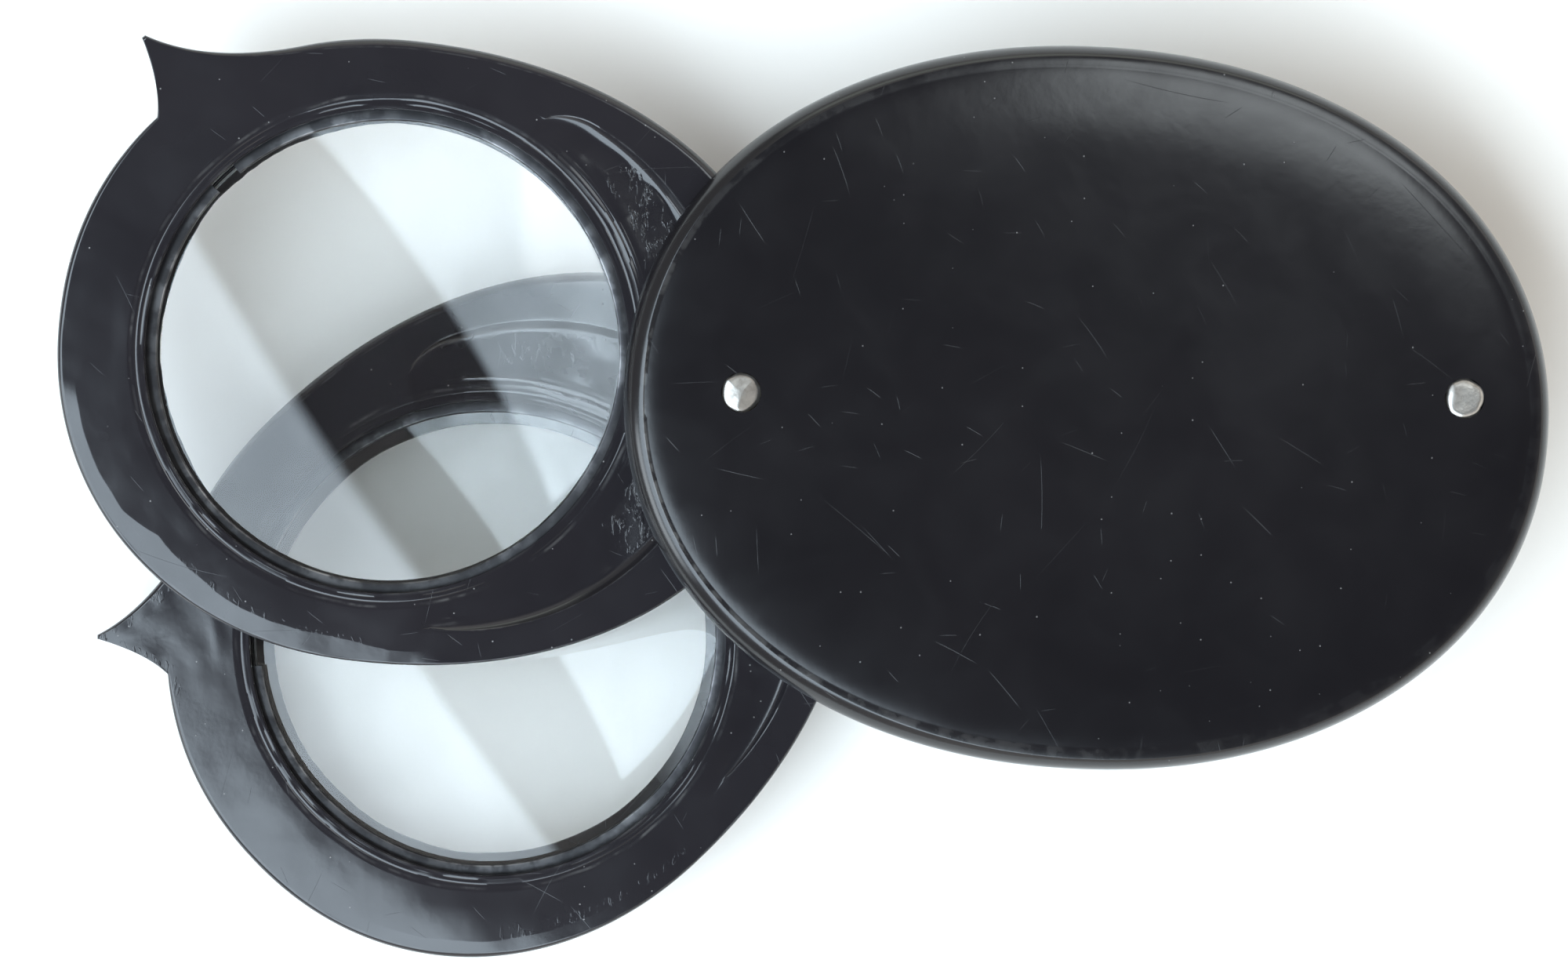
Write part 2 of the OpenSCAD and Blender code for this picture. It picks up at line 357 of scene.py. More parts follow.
class Paint:
    """A material's nodes, written with short calls. Patterns follow the piece's own coordinates."""

    def __init__(self, name, colour, **sockets):
        self.material = bpy.data.materials.new(name)
        self.material.use_nodes = True
        self.tree = self.material.node_tree
        self.shader = self.tree.nodes["Principled BSDF"]
        self.shader.inputs["Base Color"].default_value = (*colour, 1)
        for socket, value in sockets.items():
            self.shader.inputs[socket.replace("_", " ").title().replace("Ior", "IOR")].default_value = value
        self.place = self.tree.nodes.new("ShaderNodeTexCoord").outputs["Object"]

    def link(self, source, target):
        """Feeds a socket from another node, or sets it to a plain value."""
        if hasattr(source, "is_output"):
            self.tree.links.new(source, target)
        else:
            target.default_value = source

    def set(self, socket, source):
        self.link(source, self.shader.inputs[socket])

    def moved(self, stretch=(1, 1, 1), turn=0.0, offset=(0, 0, 0)):
        """The piece's own coordinates, stretched, turned and shifted."""
        node = self.tree.nodes.new("ShaderNodeMapping")
        self.link(self.place, node.inputs["Vector"])
        node.inputs["Scale"].default_value = stretch
        node.inputs["Rotation"].default_value = (0, 0, math.radians(turn))
        node.inputs["Location"].default_value = offset
        return node.outputs["Vector"]

    def noise(self, scale, detail, roughness=0.5, distortion=0.0, place=None):
        node = self.tree.nodes.new("ShaderNodeTexNoise")
        self.link(self.place if place is None else place, node.inputs["Vector"])
        node.inputs["Scale"].default_value = scale
        node.inputs["Detail"].default_value = detail
        node.inputs["Roughness"].default_value = roughness
        node.inputs["Distortion"].default_value = distortion
        return node.outputs["Fac"]

    def cells(self, scale, place=None):
        node = self.tree.nodes.new("ShaderNodeTexVoronoi")
        self.link(self.place if place is None else place, node.inputs["Vector"])
        node.inputs["Scale"].default_value = scale
        return node

    def ramp(self, source, low, high, from_value=0.0, to_value=1.0):
        return ranged(self.tree, source, low, high, from_value, to_value)

    def math(self, operation, first, second=0.5):
        node = self.tree.nodes.new("ShaderNodeMath")
        node.operation = operation
        self.link(first, node.inputs[0])
        self.link(second, node.inputs[1])
        return node.outputs["Value"]

    def mix(self, share, first, second):
        node = self.tree.nodes.new("ShaderNodeMix")
        node.data_type = "RGBA"
        self.link(share, node.inputs["Factor"])
        for value, socket in ((first, node.inputs[6]), (second, node.inputs[7])):
            self.link(value if hasattr(value, "is_output") else (*value, 1), socket)
        return node.outputs[2]

    def bump(self, height, distance, strength, onto=None):
        node = self.tree.nodes.new("ShaderNodeBump")
        self.link(height, node.inputs["Height"])
        node.inputs["Distance"].default_value = distance
        node.inputs["Strength"].default_value = strength
        if onto is not None:
            self.tree.links.new(onto, node.inputs["Normal"])
        return node.outputs["Normal"]

    def mark(self, name):
        """A point attribute that the shape functions left on the piece."""
        node = self.tree.nodes.new("ShaderNodeAttribute")
        node.attribute_name = name
        return node.outputs["Fac"]

    def hairlines(self, pitch, length, width, share, offset):
        """One fine, slightly bent scratch, at its own angle, in a share of the cells of a pattern."""
        place = self.moved(offset=(offset, offset * 0.6, 0))
        cell = self.cells(1 / pitch, place)
        cell.voronoi_dimensions = "2D"
        away = self.tree.nodes.new("ShaderNodeVectorMath")
        away.operation = "SUBTRACT"
        self.tree.links.new(place, away.inputs[0])
        self.tree.links.new(cell.outputs["Position"], away.inputs[1])
        chance = self.tree.nodes.new("ShaderNodeSeparateColor")
        self.tree.links.new(cell.outputs["Color"], chance.inputs["Color"])
        turned = self.tree.nodes.new("ShaderNodeVectorRotate")
        turned.rotation_type = "Z_AXIS"
        self.tree.links.new(away.outputs["Vector"], turned.inputs["Vector"])
        angle = self.math("MULTIPLY", chance.outputs["Red"], FULL_TURN)
        self.tree.links.new(angle, turned.inputs["Angle"])
        split = self.tree.nodes.new("ShaderNodeSeparateXYZ")
        self.tree.links.new(turned.outputs["Vector"], split.inputs["Vector"])
        along = self.math("ABSOLUTE", split.outputs["Y"])
        bend = self.math("MULTIPLY", self.math("SUBTRACT", chance.outputs["Green"], 0.5), 40.0)
        bend = self.math("MULTIPLY", bend, self.math("MULTIPLY", along, along))
        aside = self.math("ABSOLUTE", self.math("ADD", split.outputs["X"], bend))
        line = self.ramp(aside, width * 0.3, width, 1.0, 0.0)
        line = self.math("MULTIPLY", line, self.ramp(along, length * 0.3, length, 1.0, 0.0))
        chosen = self.ramp(chance.outputs["Blue"], 1 - share, 1.01 - share, 0, 1)
        return self.math("MULTIPLY", line, chosen)

    def scratches(self, offset):
        """Long, middling and short hairlines together."""
        long = self.hairlines(0.011, 0.0042, HAIRLINE_WIDTH, 0.4, offset + 0.013)
        middling = self.hairlines(0.0057, 0.0021, HAIRLINE_WIDTH, 0.4, offset + 0.027)
        short = self.hairlines(0.0027, 0.0008, HAIRLINE_WIDTH * 0.9, 0.35, offset + 0.041)
        return self.math("MAXIMUM", self.math("MAXIMUM", long, middling), short)

    def specks(self, scale, size, share):
        """Dust: small round marks in some of the cells."""
        cell = self.cells(scale)
        spot = self.ramp(cell.outputs["Distance"], size * 0.6, size, 1.0, 0.0)
        split = self.tree.nodes.new("ShaderNodeSeparateColor")
        self.link(cell.outputs["Color"], split.inputs["Color"])
        chosen = self.ramp(split.outputs["Red"], 1 - share, 1 - share + 0.01)
        return self.math("MULTIPLY", spot, chosen)


def black_vulcanite(name, wear, dust, tone, gloss, seed):
    """Near-black hard rubber with a hand polish, hairlines, dust, and rubbed edges that also carry painted
    highlights.
    """
    paint = Paint(name, (0.006, 0.0055, 0.0065), IOR=1.5)
    cloud = paint.noise(70.0, 4.0, 0.6, place=paint.moved(offset=(seed, seed, 0)))
    dark = tuple(tone * c for c in (0.0055, 0.0050, 0.0060))
    light = tuple(tone * c for c in (0.0072, 0.0065, 0.0076))
    colour = paint.mix(paint.ramp(cloud, 0.35, 0.7), dark, light)
    broken = paint.ramp(paint.noise(650.0, 3.0, 0.6), 0.42, 0.6, 0.1, 1.0)
    # Edges mixed towards a lighter grey: partly rubbed wear, partly painted highlight.
    edges = paint.math("MULTIPLY", paint.mark("wear"), broken)
    colour = paint.mix(paint.math("MULTIPLY", edges, wear), colour, RUBBED_AND_HIGHLIGHT_GREY)
    lines = paint.scratches(seed * 0.01)
    faint = paint.ramp(paint.noise(90.0, 2.0), 0.4, 0.65, 0.01, 0.07)
    lines = paint.math("MULTIPLY", lines, paint.ramp(cloud, 0.35, 0.65, 0.35, 1.0))
    colour = paint.mix(paint.math("MULTIPLY", lines, faint), colour, SCRATCH_GREY)
    small = paint.specks(1500.0, 0.10, 0.13)
    large = paint.specks(520.0, 0.035, 0.25)
    grains = paint.math("MULTIPLY", paint.math("MAXIMUM", small, large), dust)
    colour = paint.mix(grains, colour, DUST_GREY)
    paint.set("Base Color", colour)
    smear = paint.noise(170.0, 5.0, 0.6, 0.6, paint.moved(offset=(seed, 0, 0)))
    roughness = paint.ramp(smear, 0.3, 0.75, gloss, gloss + 0.05)
    roughness = paint.math("ADD", roughness, paint.math("MULTIPLY", lines, 0.08))
    tooled = paint.mark("tooled")
    roughness = paint.math("ADD", roughness, paint.math("MULTIPLY", tooled, 0.04))
    roughness = paint.math("ADD", roughness, paint.math("MULTIPLY", grains, 0.4))
    paint.set("Roughness", paint.math("ADD", roughness, paint.math("MULTIPLY", edges, 0.12)))
    peel = paint.noise(900.0, 2.0, 0.5)
    normal = paint.bump(peel, 0.000006, 0.8)
    fine = paint.noise(5200.0, 2.0, 0.6)
    normal = paint.bump(fine, 0.0000012, 0.6, normal)
    gouges = paint.ramp(paint.noise(2300.0, 3.0, 0.6, 0.6, paint.moved((1, 0.35, 1), 35)), 0.55, 0.64)
    normal = paint.bump(paint.math("MULTIPLY", gouges, tooled), 0.00005, 1.0, normal)
    paint.set("Normal", paint.bump(paint.math("SUBTRACT", grains, lines), 0.000006, 0.6, normal))
    return paint.material


def peened_metal(name):
    """Nickel silver, hammered over and rubbed."""
    paint = Paint(name, (0.60, 0.585, 0.56), metallic=1.0)
    stain = paint.noise(900.0, 4.0, 0.6)
    stained = paint.ramp(stain, 0.35, 0.75)
    paint.set("Base Color", paint.mix(stained, (0.46, 0.44, 0.41), (0.22, 0.20, 0.18)))
    lines = paint.scratches(0.5)
    roughness = paint.ramp(stain, 0.3, 0.8, 0.34, 0.5)
    paint.set("Roughness", paint.math("ADD", roughness, paint.math("MULTIPLY", lines, 0.15)))
    dents = paint.noise(1500.0, 2.0, 0.5)
    normal = paint.bump(dents, 0.00006, 0.6)
    paint.set("Normal", paint.bump(lines, 0.00001, 0.6, normal))
    return paint.material


def turned_metal(name, colour, dull):
    """Washers and spacer: drawn or turned metal with a light tarnish."""
    paint = Paint(name, colour, metallic=1.0)
    tarnish = paint.noise(400.0, 4.0, 0.6)
    dark = tuple(0.55 * c for c in colour)
    paint.set("Base Color", paint.mix(paint.ramp(tarnish, 0.35, 0.75), colour, dark))
    paint.set("Roughness", paint.ramp(tarnish, 0.3, 0.8, dull, dull + 0.2))
    lines = paint.noise(6000.0, 1.0, place=paint.moved((0.05, 0.05, 1)))
    paint.set("Normal", paint.bump(lines, 0.000008, 0.5))
    return paint.material


def ring_steel(name):
    """Blackened spring steel, rubbed bright along its edges, with a painted highlight along its upper inner
    edge.
    """
    paint = Paint(name, (0.05, 0.05, 0.053), metallic=0.75)
    rub = paint.noise(700.0, 3.0, 0.6)
    # The ring's upper inner edge mixed to light grey: partly rubbing, partly painted highlight.
    edges = paint.math("MULTIPLY", paint.mark("wear"), paint.ramp(rub, 0.4, 0.6, 0.1, 1.0))
    colour = paint.mix(paint.ramp(rub, 0.4, 0.7), (0.035, 0.035, 0.038), (0.055, 0.055, 0.058))
    paint.set("Base Color", paint.mix(edges, colour, (0.42, 0.42, 0.43)))
    paint.set("Roughness", paint.ramp(rub, 0.3, 0.8, 0.34, 0.44))
    paint.set("Normal", paint.bump(paint.noise(2600.0, 2.0), 0.00001, 0.5))
    return paint.material


def clear_glass(name):
    """Polished lens glass with a few dust specks and faint smears."""
    paint = Paint(name, (0.985, 0.992, 0.988), transmission_weight=1.0, IOR=1.52)
    dust = paint.specks(700.0, 0.035, 0.05)
    paint.set("Base Color", paint.mix(dust, (0.985, 0.992, 0.988), (0.42, 0.42, 0.41)))
    smear = paint.noise(120.0, 4.0, 0.6, 0.8, paint.moved((1, 0.4, 1), 30))
    paint.set("Roughness", paint.math("ADD", paint.ramp(smear, 0.45, 0.8, 0.0, 0.02), dust))
    paint.set("Normal", paint.bump(paint.noise(60.0, 1.0), 0.000004, 0.3))
    return paint.material


def ground_glass(name):
    """The unpolished edge of a lens."""
    paint = Paint(name, (0.75, 0.79, 0.78), transmission_weight=0.85, IOR=1.52)
    grain = paint.noise(3000.0, 3.0, 0.6)
    paint.set("Roughness", paint.ramp(grain, 0.3, 0.8, 0.35, 0.6))
    paint.set("Normal", paint.bump(grain, 0.00002, 0.6))
    return paint.material


def pale_paper(name):
    """Plain pale floor with the faintest tooth."""
    paint = Paint(name, (0.95, 0.922, 0.872))
    tooth = paint.noise(900.0, 3.0)
    paint.set("Base Color", paint.mix(tooth, (0.945, 0.915, 0.865), (0.955, 0.925, 0.875)))
    paint.set("Roughness", paint.ramp(tooth, 0.2, 0.8, 0.75, 0.9))
    paint.set("Normal", paint.bump(tooth, 0.00002, 0.3))
    return paint.material


# ---------------------------------------------------------------- covers


def cover_profile():
    """(inset, height above the inner face, share of the inset that varies round the oval)."""
    inner = [(3.0, 0.0, 0), (0.30, 0.0, 0), (0.12, 0.08, 0), (0.0, 0.30, 0), (0.0, 0.95, 0)]
    rounding = [(0.05, 1.18, 1), (0.16, 1.42, 1), (0.33, 1.67, 1), (0.56, 1.92, 1), (0.85, 2.15, 1)]
    crease = [(1.06, 2.27, 1), (1.22, 2.35, 1), (1.36, 2.392, 1)]
    dome = []
    near = (1.42, 1.6, 1.8, 2.0, 2.25, 2.6, 3.0, 3.6, 4.3, 5.1, 6.0, 6.9)
    for inset in (*near, *np.arange(8.0, 23.5, 1.3)):
        share = max(0.0, (DOME_REACH - inset) / (DOME_REACH - CREASE_INSET))
        dome.append((inset, COVER_THICKNESS - DOME_DROP * share**2, 0))
    return inner + rounding + crease + dome


def rounding_width(degrees):
    """How wide the hand-rounded side edge is, as a share of its widest, round the oval."""
    return around(degrees, [(0, 0.55), (45, 0.6), (90, 0.62), (135, 0.8), (180, 1.0),
                            (225, 0.95), (270, 0.6), (315, 0.5)])


def cover(side, material):
    """A thick oval cover with a gentle dome, a worn crease with a painted highlight, and a rounded side
    edge.
    """
    node = side + "_cover"
    low, high = node_box(node)
    thickness = high[2] - low[2]
    degrees = np.arange(COVER_SIDES) * 360 / COVER_SIDES
    wide = rounding_width(degrees)
    rings = []
    for inset, height, varies in cover_profile():
        held = inset * (wide if varies else 1.0)
        half_size = [CASE_HALF_LENGTH - held + 0 * wide, CASE_HALF_WIDTH - held + 0 * wide]
        xy = oval(1.0, 1.0, 1.0, degrees) * np.stack(half_size, -1)
        z = np.full(COVER_SIDES, height * thickness / COVER_THICKNESS)
        if height > 2.2:
            z = z + 0.003 * waves(xy[:, 0], xy[:, 1], 5, 9.0)
        if CREASE_INSET < inset < CREASE_INSET + RUBBED_WIDTH:
            z = z - RUBBED_DROP * (1 - (inset - CREASE_INSET) / RUBBED_WIDTH) ** 2
        rings.append(np.column_stack([xy, np.minimum(z, thickness)]))
    grid = np.array(rings)
    if side == "lower":
        grid[..., 2] *= -1
        grid[..., 2] += thickness
    grid = placed(grid, math.radians(COVER_TURN), node_middle(node), low[2])
    # Lighter grey along the crease, strongest towards -X: partly wear, partly a painted highlight on the
    # side that faces the window.
    rubbed = around(degrees, [(0, 0.05), (90, 0.05), (150, 0.2), (190, 0.8), (250, 0.3), (300, 0.05)])
    wear = np.array([rubbed * (1.3 < inset < 1.5) for inset, _, _ in cover_profile()])
    piece = grid_object(side + "_cover_shell", grid, capped=True, sharp_angle=38, wear=wear)
    for place in (PIVOT, END):
        drill(piece, place, RIVET_HOLE_R, 38)
    paint_with(piece, material)
    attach(piece, "case")
    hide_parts(node)


# ---------------------------------------------------------------- rivets


def rivet(node, place, tilts, seed, material):
    """A shank whose ends are hammered flush: a slightly ragged outline, and flat facets, each
    given by the direction it faces, its slope and how far from the middle it starts."""
    low, high = node_box(node)
    turn = np.arange(RIVET_SIDES) * 2 * math.pi / RIVET_SIDES
    ragged = 1 + 0.035 * waves(np.cos(turn) * 3, np.sin(turn) * 3, seed, 2.2)
    rings = []

    def facet_height(x, y):
        """Height lost at a point of a head: the deepest of its hammered flats."""
        drops = [np.zeros_like(x)]
        for toward, steep, start in tilts:
            along = math.cos(math.radians(toward)) * x + math.sin(math.radians(toward)) * y
            drops.append(np.maximum(0, along - start) * steep)
        return np.max(drops, 0)

    for end, sign in ((low[2], 1), (high[2], -1)):
        head = []
        for radius in (0.12, 0.35, 0.55, 0.75, 0.92, 1.06, 1.18, 1.27, 1.31):
            x, y = radius * ragged * np.cos(turn), radius * ragged * np.sin(turn)
            edge = 0.10 * smooth(1.1, 1.32, np.full(RIVET_SIDES, radius))
            head.append(np.column_stack([x, y, end + sign * (facet_height(x, y) + edge + 0.005)]))
        neck_z = np.full(RIVET_SIDES, end + sign * 0.5)
        neck = np.column_stack([RIVET_SHANK_R * np.cos(turn), RIVET_SHANK_R * np.sin(turn), neck_z])
        rings.append(head + [neck] if sign > 0 else [neck] + head[::-1])
    grid = np.array(rings[0] + rings[1])
    grid[..., 0] += place[0]
    grid[..., 1] += place[1]
    piece = grid_object(node + "_peened", grid, capped=True, sharp_angle=24)
    paint_with(piece, material)
    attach(piece, "case")
    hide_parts(node)


# ---------------------------------------------------------------- lens frames


def frame_outline(reach, horn_turn):
    """A frame seen from above, about its lens: an oval with a pointed horn turned a little."""
    tail = reach + FRAME_HEEL
    turns = np.linspace(HORN_FRONT_TURN + horn_turn, HORN_BACK_TURN + horn_turn + 360, OVAL_RAYS)
    body = oval(FRAME_NOSE, tail, FRAME_HALF_WIDTH, turns)
    cosine, sine = math.cos(math.radians(horn_turn)), math.sin(math.radians(horn_turn))
    tip_front, tip_back, back_hollow, front_hollow = np.array([
        (HORN_TIP[0], HORN_TIP[1] + HORN_BLUNT), (HORN_TIP[0] - HORN_BLUNT, HORN_TIP[1]),
        BACK_HOLLOW, FRONT_HOLLOW,
    ]) @ np.array([[cosine, sine], [-sine, cosine]])
    back = bezier(body[-1], back_hollow, tip_back, FLANK_RAYS)
    front = bezier(tip_front, front_hollow, body[0], FLANK_RAYS)
    return np.concatenate([body, back, [tip_back, tip_front], front])


def recess_wall(turn):
    """Distance from the lens's middle to the top of the recess's outer wall."""
    cosine, sine = np.cos(np.radians(turn)), np.sin(np.radians(turn))
    wall = -RECESS_OFFSET * cosine + np.sqrt(RECESS_R**2 - (RECESS_OFFSET * sine) ** 2)
    angle = turn % 360
    closing = np.clip((angle - RECESS_END) / RECESS_END_FADE, 0, 1)
    closing = closing + np.clip((RECESS_START - angle) / RECESS_START_FADE, 0, 1)
    return RECESS_FOOT_R + (wall - RECESS_FOOT_R) * np.sqrt(1 - np.minimum(closing, 1) ** 2)


def edge_width(turn, on_horn):
    """How wide the filed rounding of a frame's outer edge is, round its lens."""
    return around(turn, [(0, 0.42), (30, 0.36), (62, 0.30), (80, 0.16), (150, 0.12), (188, 0.35),
                         (200, 0.62), (283, 0.62), (303, on_horn), (315, on_horn), (318, 0.12),
                         (330, 0.36)])


class FrameSection:
    """Rings of points that run round a frame's section: hole, face, outer edge, underside."""

    def __init__(self, side, thickness, reach):
        self.values = FRAMES[side]
        self.seed = self.values["seed"]
        outline = frame_outline(reach, self.values["horn_turn"])
        self.turn = np.degrees(np.unwrap(np.arctan2(outline[:, 1], outline[:, 0])))
        self.angle = self.turn % 360
        self.far = np.hypot(outline[:, 0], outline[:, 1])
        self.cosine, self.sine = np.cos(np.radians(self.turn)), np.sin(np.radians(self.turn))
        self.top = thickness
        self.rings, self.wear, self.tooled = [], [], []
        self.plan_recess()
        self.plan_outer_edge()
        self.hole()
        self.mouth()
        self.recess_floor()
        self.recess_side()
        self.flat_and_bevel()
        self.edge_and_underside()

    def rim_waves(self, offset, length):
        """Unevenness that runs round the lens."""
        return waves(WAVE_R * self.cosine, WAVE_R * self.sine, self.seed + offset, length)

    def plan_recess(self):
        """By direction, how deep the recess is at its wall and at the seat's mouth."""
        wall = recess_wall(self.turn)
        start = around(self.turn, [(100, 0.0), (107, 0.2), (125, 0.6), (143, 1.0), (216, 1.0),
                                   (232, 0.6), (241, 0.15), (246, 0.0)])
        self.depth = RECESS_DEPTH * start * np.clip((wall - RECESS_FOOT_R + 0.3) / 1.3, 0, 1)
        self.wall = np.maximum(wall, RECESS_FOOT_R + 0.5)
        self.cove = np.minimum(COVE_WIDTH, (self.wall - RECESS_FOOT_R) * 0.8)
        self.sink = self.depth * around(self.turn, [(0, 0.0), (100, 0.5), (125, 0.82), (250, 0.82),
                                                    (330, 0.0)])

    def plan_outer_edge(self):
        """By direction, where the face ends, how it rolls off and how wide its bevel is."""
        self.roll = around(self.turn, self.values["roll"])
        self.width = edge_width(self.turn, self.values["horn_edge"])
        self.outer_end = self.far - self.width
        bevel = around(self.turn, self.values["bevel"])
        self.filed = math.tan(math.radians(BEVEL_SLOPE)) * np.clip(bevel / 0.4, 0, 1)
        self.bevel = np.maximum(bevel, 0.8) * (1 + 0.03 * self.rim_waves(10, 2.2))
        self.on_horn = smooth(284, 292, self.angle) * (1 - smooth(318, 332, self.angle))

    def floor_level(self, radius):
        """How deep the recess's floor is, from the mouth of the seat out to its wall."""
        across = smooth(MOUTH_R + 0.1, self.wall - self.cove, radius)
        return self.sink + (self.depth - self.sink) * across

    def dressed(self, radius):
        """Height lost where one side of the face was dressed to a slight slope."""
        beyond = radius * np.cos(np.radians(self.turn - DRESSED_TOWARD)) - DRESSED_START
        return math.tan(math.radians(self.values["dressed"])) * (beyond + np.sqrt(beyond**2 + 1)) / 2

    def ring(self, radius, height, rubbed=0.0, rough=0.0):
        """Adds a ring of points, how rubbed they are (a mark that also paints highlights on edges) and how
        rough they are.
        """
        radius = radius + 0 * self.far
        self.rings.append(np.column_stack([radius * self.cosine, radius * self.sine, height + 0 * self.far]))
        self.wear.append(rubbed + 0 * self.far)
        self.tooled.append(rough + 0 * self.far)

    def face(self, radius, height, rubbed=0.0, rough=0.0):
        """A ring on the upper face, lowered by the roll-off and the polish's unevenness."""
        radius = radius + 0 * self.far
        x, y = radius * self.cosine, radius * self.sine
        share = np.clip((radius - (self.outer_end - ROLL_REACH)) / ROLL_REACH, 0, 1)
        uneven = 0.010 * waves(x, y, self.seed + 2, 9.0)
        uneven = uneven + 0.003 * waves(x, y, self.seed + 3, 3.0)
        uneven = uneven + self.values["horn_mottle"] * self.on_horn * waves(x, y, self.seed + 9, 2.2)
        lowered = self.roll * share**2 + self.dressed(radius) + FACE_SKIM
        lowered = lowered + self.filed * np.maximum(0, radius - self.outer_end + self.bevel)
        uneven = uneven * smooth(0, 1.5, radius - MOUTH_R)
        self.ring(radius, height - lowered + uneven, rubbed, rough)

    def hole(self):
        """From the underside up past the lip, the glass's seat and the ring's groove."""
        curve = self.values["curve"]
        glass_low = (self.top - GLASS_EDGE) / 2
        bulge = sag(curve, GLASS_R)
        lip_z = glass_low - bulge + sag(curve, self.values["view_r"]) - 0.02
        ring_z = glass_low + GLASS_EDGE + bulge - sag(curve, RING_INNER_R) + 0.01
        ragged = around(self.turn, [(30, 1.3), (60, 0.3), (270, 0.3), (300, 1.3)])
        uneven = 0.014 * self.rim_waves(0, 1.3)
        uneven = uneven + 0.05 * self.rim_waves(1, 8.0)
        self.view_r = self.values["view_r"] + uneven * ragged
        self.ring(self.view_r + LIP_CHAMFER, 0.0)
        self.ring(self.view_r + 0.06, LIP_CHAMFER - 0.06)
        self.ring(self.view_r, LIP_CHAMFER + 0.06)
        self.ring(self.view_r, lip_z - 0.1)
        self.ring(self.view_r + 0.07, lip_z)
        self.ring(SEAT_R, lip_z)
        self.ring(SEAT_R, ring_z)
        self.ring(SEAT_R + RING_GROOVE, ring_z)
        self.ring(SEAT_R + RING_GROOVE, ring_z + RING_HEIGHT + 0.06)
        self.ring(SEAT_R, ring_z + RING_HEIGHT + 0.1)

    def mouth(self):
        """The turned mouth of the seat, with faint grooves that fade beside the recess."""
        self.patchy = np.clip(0.5 + 0.6 * self.rim_waves(7, 5.0), 0, 1)
        self.other = np.clip(0.4 + 0.6 * self.rim_waves(8, 6.0), 0, 1)
        away = around(self.turn, [(120, 1.0), (150, 0.25), (240, 0.25), (265, 1.0)])
        edge = MOUTH_R + 0.05 * self.rim_waves(4, 3.5)
        low = self.top - MOUTH_DEPTH - self.sink * 0.96 - self.dressed(MOUTH_R)
        self.ring(SEAT_R - 0.02, low - 0.12)
        # Lighter rubbed line on the seat's edge: partly wear, partly painted highlight.
        self.ring(SEAT_R + 0.04, low, 0.4 * self.other)
        for radius, groove in MOUTH_RINGS:
            if groove >= 0.9:
                groove = 0.8 + (groove - 0.8) * self.patchy * away
            self.ring(radius, self.top - self.sink * 0.98 - self.dressed(MOUTH_R) - MOUTH_DEPTH * groove)
        self.ring(edge - 0.12, self.top - self.sink - 0.06 - self.dressed(MOUTH_R))
        # Lighter rubbed line on the mouth's edge: partly wear, partly painted highlight.
        self.face(edge, self.top - self.sink - 0.03, 0.6 * self.patchy)
        self.face(edge + 0.14, self.top - self.sink)

    def recess_floor(self):
        """Fine ridges next to the mouth, then an uneven floor with two rough patches."""
        ridges = RIDGE_HEIGHT * smooth(150, 168, self.angle) * (1 - smooth(230, 242, self.angle))
        for radius, lift in RIDGE_RINGS:
            share = self.patchy if radius < 17.75 else self.other
            # Lighter grey on the ridges' crests: painted glints, partly wear.
            rubbed = 0.2 * (lift > 0) * self.other * (ridges > 0.02)
            self.face(radius, self.top - self.floor_level(radius) + ridges * lift * (0.3 + share), rubbed)
        for radius in (RECESS_FOOT_R - 0.12, RECESS_FOOT_R + 0.1):
            self.face(radius, self.top - self.floor_level(radius))
        rough = smooth(145, 152, self.angle) * (1 - smooth(159, 168, self.angle))
        rough = rough + smooth(204, 211, self.angle) * (1 - smooth(219, 227, self.angle))
        for share in np.linspace(0.12, 1, 12):
            radius = RECESS_FOOT_R + 0.1 + (self.wall - self.cove - RECESS_FOOT_R - 0.1) * share
            swell = 0.03 * waves(radius * self.cosine, radius * self.sine, self.seed + 6, 3.0) * self.depth
            self.face(radius, self.top - self.floor_level(radius) + swell, 0.04 * rough, 0.7 * rough)

    def recess_side(self):
        """The recess's hollow wall up to its rim, which is rubbed and carries a painted highlight."""
        for t in COVE_STEPS:
            self.face(self.wall - self.cove + self.cove * t, self.top - self.depth * math.sqrt(1 - t * t))
        rim_z = self.top - 0.012 * (self.depth > 0.02)
        # Lighter grey on the wall's rim: a painted highlight, partly wear.
        self.face(self.wall + 0.05, rim_z, 0.35 * (self.depth > 0.1))
        self.face(self.wall + 0.14, self.top)

    def flat_and_bevel(self):
        """The flat face and the bevel filed along its outer edge, with some chatter marks."""
        inner_end = self.wall + 0.14
        chatter = smooth(44, 56, self.angle) * (1 - smooth(86, 100, self.angle)) * (self.filed > 0)
        room = self.outer_end - self.bevel - inner_end
        narrowed = np.maximum(self.outer_end - inner_end - 0.3, 0.2)
        self.bevel = np.where(room < 0.3, narrowed, self.bevel)
        for share in FACE_STEPS:
            radius = inner_end + (self.outer_end - self.bevel - inner_end) * share
            self.face(radius, self.top, 0, 0.10 * chatter * (share > 0.5))
        horn_rough = HORN_ROUGHNESS * self.values["horn_mottle"] * self.on_horn
        for share in BEVEL_STEPS:
            # Lighter grey on the bevel's outer corner: partly wear, partly painted highlight.
            self.face(self.outer_end - self.bevel * (1 - share), self.top, 0.3 * (share == 1), horn_rough)

    def edge_and_underside(self):
        """Round the outer edge, down the side and under."""
        drop = self.top - self.roll - self.dressed(self.far) - FACE_SKIM - self.filed * self.bevel
        fall = 0.22 + 0.75 * self.width
        for t in EDGE_STEPS:
            self.ring(self.far - self.width + self.width * t, drop - fall * (1 - math.sqrt(1 - t * t)))
        self.ring(self.far, drop - fall * 1.12)
        self.ring(self.far - 0.03, 2.2)
        self.ring(self.far - 0.02, 0.42)
        self.ring(self.far - 0.14, 0.12)
        self.ring(self.far - 0.42, 0.0)
        self.ring((self.far + self.view_r) / 2 + 0.2, 0.0)


